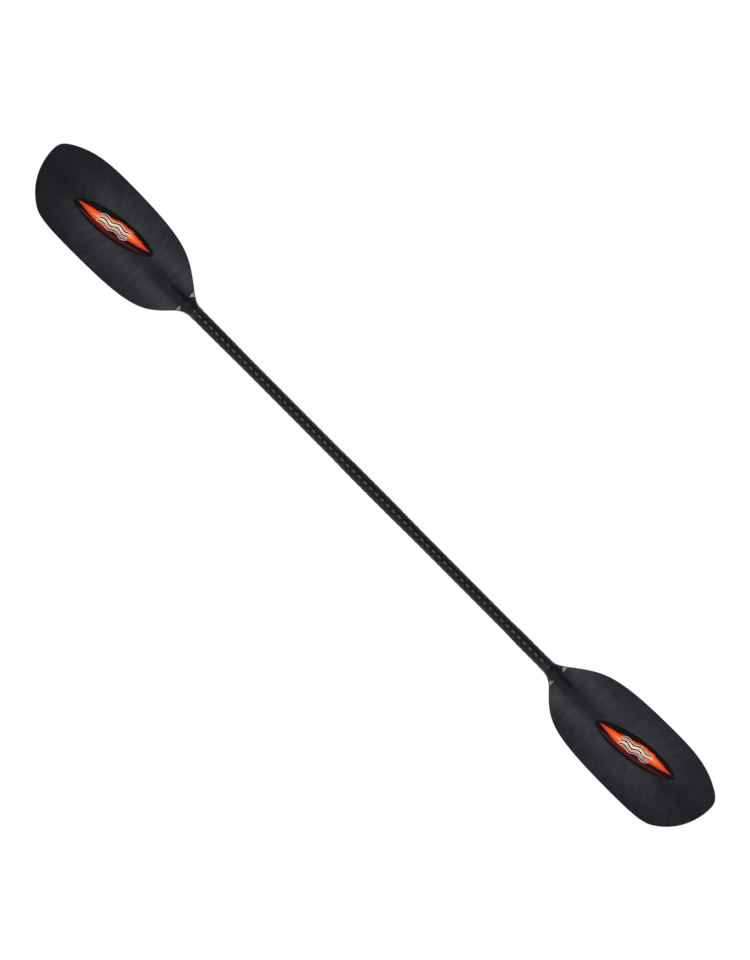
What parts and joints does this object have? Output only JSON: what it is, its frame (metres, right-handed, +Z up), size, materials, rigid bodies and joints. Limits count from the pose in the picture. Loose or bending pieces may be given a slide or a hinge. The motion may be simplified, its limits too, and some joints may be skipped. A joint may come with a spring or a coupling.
{
  "type": "kayak paddle",
  "caption": "One-piece two-bladed kayak paddle: straight carbon-fibre shaft with oval grip zones and wide spooned moulded blades.",
  "frame": {"origin": "on the floor plane the paddle lies on, under the middle of the shaft: the centre of the bounding box's underside", "axes": "+X along the shaft towards the right blade, +Y across the blades towards their fuller tip corners, +Z up, out of the power faces"},
  "size_m": [1.97, 0.189, 0.0414],
  "materials": {
    "carbon_shaft": "satin plain-weave carbon-fibre laminate, 8.5 mm tows",
    "blade_nylon": "satin charcoal fibre-reinforced nylon with faint moulding flow streaks",
    "seam_band": "smooth blue-black trim band",
    "epoxy": "dark glossy epoxy bead",
    "foam": "closed-cell sealing foam",
    "emblem_film": null
  },
  "bodies": {
    "root": {"shaft_tube": "carbon_shaft", "left_blade": "blade_nylon", "right_blade": "blade_nylon", "left_seam_band": "seam_band", "right_seam_band": "seam_band", "left_epoxy_bond": "epoxy", "right_epoxy_bond": "epoxy", "left_foam_plug": "foam", "right_foam_plug": "foam", "left_emblem": "emblem_film", "right_emblem": "emblem_film"}
  },
  "joints": []
}
